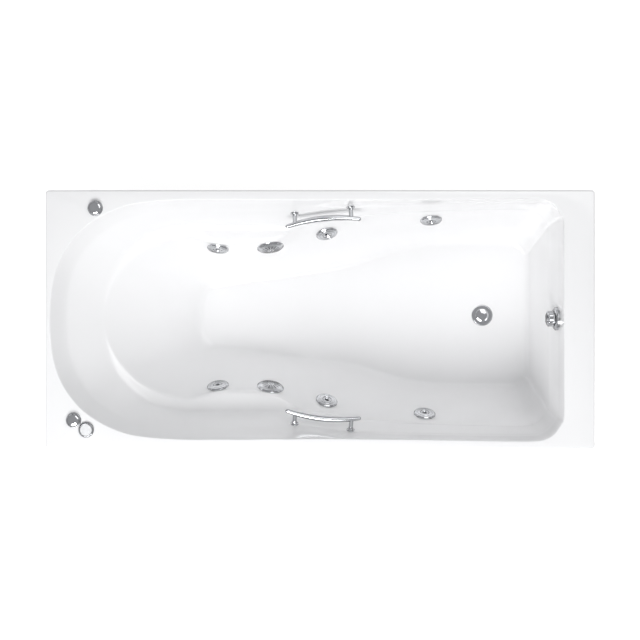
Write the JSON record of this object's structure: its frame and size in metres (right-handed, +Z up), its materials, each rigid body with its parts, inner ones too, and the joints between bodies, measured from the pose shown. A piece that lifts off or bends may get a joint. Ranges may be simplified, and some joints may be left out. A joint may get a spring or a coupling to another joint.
{
  "type": "bathtub",
  "caption": "White jetted bathtub for building in, with armrests, grips, deck controls and a steel frame.",
  "frame": {"origin": "middle of the floor under the tub, at the bottom of the levelling feet", "axes": "+X towards the drain end, +Y across the tub to the left of the bather as they lie, +Z up"},
  "size_m": [1.7, 0.8, 0.597],
  "materials": {
    "acrylic": "polished white sanitary acrylic",
    "board": "sealed particle board",
    "galvanised": "galvanised square tube",
    "zinc": "zinc-plated screws, studs and nuts",
    "foot_pad": "moulded black foot",
    "chrome": "polished chrome",
    "pipe_plastic": "white rigid pipe and fittings",
    "hose_plastic": "clear flexible hose",
    "rubber": "black soft gaskets",
    "pump_paint": "dark painted aluminium housing",
    "pump_plastic": "black glass-filled casing",
    "impeller": "moulded impeller on a steel shaft",
    "cable_cover": "sheathed control cable",
    "button_face": "pale push face",
    "fastener_plastic": "moulded nuts under the deck"
  },
  "bodies": {
    "tub": {"tub_shell": "acrylic", "base_board": "board", "frame_rails": "galvanised", "frame_cross_head": "galvanised", "frame_cross_middle": "galvanised", "frame_cross_foot": "galvanised", "rim_posts": "galvanised", "leveling_feet": "foot_pad", "foot_lock_nuts": "zinc", "frame_screws": "zinc", "jet_wall_fittings": "pipe_plastic", "jet_bodies": "pipe_plastic", "water_mains": "pipe_plastic", "air_hoses": "hose_plastic", "suction_fittings": "pipe_plastic", "suction_cover_left": "chrome", "suction_cover_right": "chrome", "suction_screws": "chrome", "suction_bodies": "pipe_plastic", "suction_pipes": "pipe_plastic", "pump_motor": "pump_paint", "pump_volute": "pump_plastic", "pump_stand": "pump_plastic", "terminal_box": "pump_plastic", "cable_gland": "pump_plastic", "discharge_header": "pipe_plastic", "pipe_unions": "pipe_plastic", "drain_flange": "chrome", "drain_body": "pipe_plastic", "drain_trap": "pipe_plastic", "overflow_rosette": "chrome", "rubber_gaskets": "rubber", "overflow_elbow": "pipe_plastic", "overflow_pipe": "hose_plastic", "plug_cable": "cable_cover", "grip_bar_left": "chrome", "grip_bar_right": "chrome", "grip_nuts": "zinc", "air_control_bodies": "chrome", "start_body": "chrome", "control_nuts": "fastener_plastic", "switch_tube": "hose_plastic"},
    "jet_ring_1": {"jet_ring_1": "chrome"},
    "jet_nozzle_1": {"jet_nozzle_1": "chrome"},
    "jet_ring_2": {"jet_ring_2": "chrome"},
    "jet_nozzle_2": {"jet_nozzle_2": "chrome"},
    "jet_ring_3": {"jet_ring_3": "chrome"},
    "jet_nozzle_3": {"jet_nozzle_3": "chrome"},
    "jet_ring_4": {"jet_ring_4": "chrome"},
    "jet_nozzle_4": {"jet_nozzle_4": "chrome"},
    "jet_ring_5": {"jet_ring_5": "chrome"},
    "jet_nozzle_5": {"jet_nozzle_5": "chrome"},
    "jet_ring_6": {"jet_ring_6": "chrome"},
    "jet_nozzle_6": {"jet_nozzle_6": "chrome"},
    "drain_plug": {"drain_plug": "chrome"},
    "overflow_knob": {"overflow_knob": "chrome"},
    "air_knob_left": {"air_knob_left": "chrome"},
    "air_knob_right": {"air_knob_right": "chrome"},
    "start_button": {"start_button": "button_face"},
    "pump_rotor": {"pump_rotor": "impeller"}
  },
  "joints": [
    {"name": "jet_1_flow", "type": "hinge", "parent": "tub", "child": "jet_ring_1", "pos_m": [-0.33384, 0.22624, 0.35448], "axis": [-0.1079, -0.932, 0.346], "range_deg": [0, 90]},
    {"name": "jet_1_aim", "type": "hinge", "parent": "jet_ring_1", "child": "jet_nozzle_1", "pos_m": [-0.33362, 0.22811, 0.35379], "axis": [0.9942, -0.1011, 0.0375], "range_deg": [-15, 15]},
    {"name": "jet_2_flow", "type": "hinge", "parent": "tub", "child": "jet_ring_2", "pos_m": [0.02091, 0.27469, 0.35479], "axis": [0.2043, -0.8579, 0.4714], "range_deg": [0, 90]},
    {"name": "jet_2_aim", "type": "hinge", "parent": "jet_ring_2", "child": "jet_nozzle_2", "pos_m": [0.0205, 0.27641, 0.35384], "axis": [0.9789, 0.1791, -0.0984], "range_deg": [-15, 15]},
    {"name": "jet_3_flow", "type": "hinge", "parent": "tub", "child": "jet_ring_3", "pos_m": [0.36193, 0.31872, 0.35456], "axis": [0.0591, -0.9274, 0.3693], "range_deg": [0, 90]},
    {"name": "jet_3_aim", "type": "hinge", "parent": "jet_ring_3", "child": "jet_nozzle_3", "pos_m": [0.36181, 0.32058, 0.35382], "axis": [0.9983, 0.0549, -0.0219], "range_deg": [-15, 15]},
    {"name": "jet_4_flow", "type": "hinge", "parent": "tub", "child": "jet_ring_4", "pos_m": [-0.33384, -0.22624, 0.35448], "axis": [-0.1079, 0.932, 0.346], "range_deg": [0, 90]},
    {"name": "jet_4_aim", "type": "hinge", "parent": "jet_ring_4", "child": "jet_nozzle_4", "pos_m": [-0.33362, -0.22811, 0.35379], "axis": [0.9942, 0.1011, 0.0375], "range_deg": [-15, 15]},
    {"name": "jet_5_flow", "type": "hinge", "parent": "tub", "child": "jet_ring_5", "pos_m": [0.02091, -0.27469, 0.35479], "axis": [0.2043, 0.8579, 0.4714], "range_deg": [0, 90]},
    {"name": "jet_5_aim", "type": "hinge", "parent": "jet_ring_5", "child": "jet_nozzle_5", "pos_m": [0.0205, -0.27641, 0.35384], "axis": [0.9789, -0.1791, -0.0984], "range_deg": [-15, 15]},
    {"name": "jet_6_flow", "type": "hinge", "parent": "tub", "child": "jet_ring_6", "pos_m": [0.34092, -0.31736, 0.35454], "axis": [0.063, 0.9244, 0.3762], "range_deg": [0, 90]},
    {"name": "jet_6_aim", "type": "hinge", "parent": "jet_ring_6", "child": "jet_nozzle_6", "pos_m": [0.3408, -0.31921, 0.35379], "axis": [0.998, -0.0584, -0.0238], "range_deg": [-15, 15]},
    {"name": "overflow_turn", "type": "hinge", "parent": "tub", "child": "overflow_knob", "pos_m": [0.74708, 0, 0.50498], "axis": [-0.9956, 0, 0.0938], "range_deg": [0, 90]},
    {"name": "plug_lift", "type": "slide", "parent": "tub", "child": "drain_plug", "axis": [0, 0, 1], "range_m": [0, 0.01]},
    {"name": "air_left_turn", "type": "hinge", "parent": "tub", "child": "air_knob_left", "pos_m": [-0.696, 0.3445, 0.58], "axis": [0, 0, 1], "range_deg": [0, 180]},
    {"name": "air_right_turn", "type": "hinge", "parent": "tub", "child": "air_knob_right", "pos_m": [-0.763, -0.3115, 0.58], "axis": [0, 0, 1], "range_deg": [0, 180]},
    {"name": "start_push", "type": "slide", "parent": "tub", "child": "start_button", "axis": [0, 0, -1], "range_m": [0, 0.004], "stiffness_N_per_m": 600, "springref_m": -0.003},
    {"name": "pump_spin", "type": "hinge", "parent": "tub", "child": "pump_rotor", "pos_m": [-0.7, 0.086, 0.215], "axis": [0, 1, 0], "continuous": true}
  ],
  "couplings": [
    {"joint": "plug_lift", "follows": "overflow_turn", "m_per_rad": 0.0063662}
  ]
}
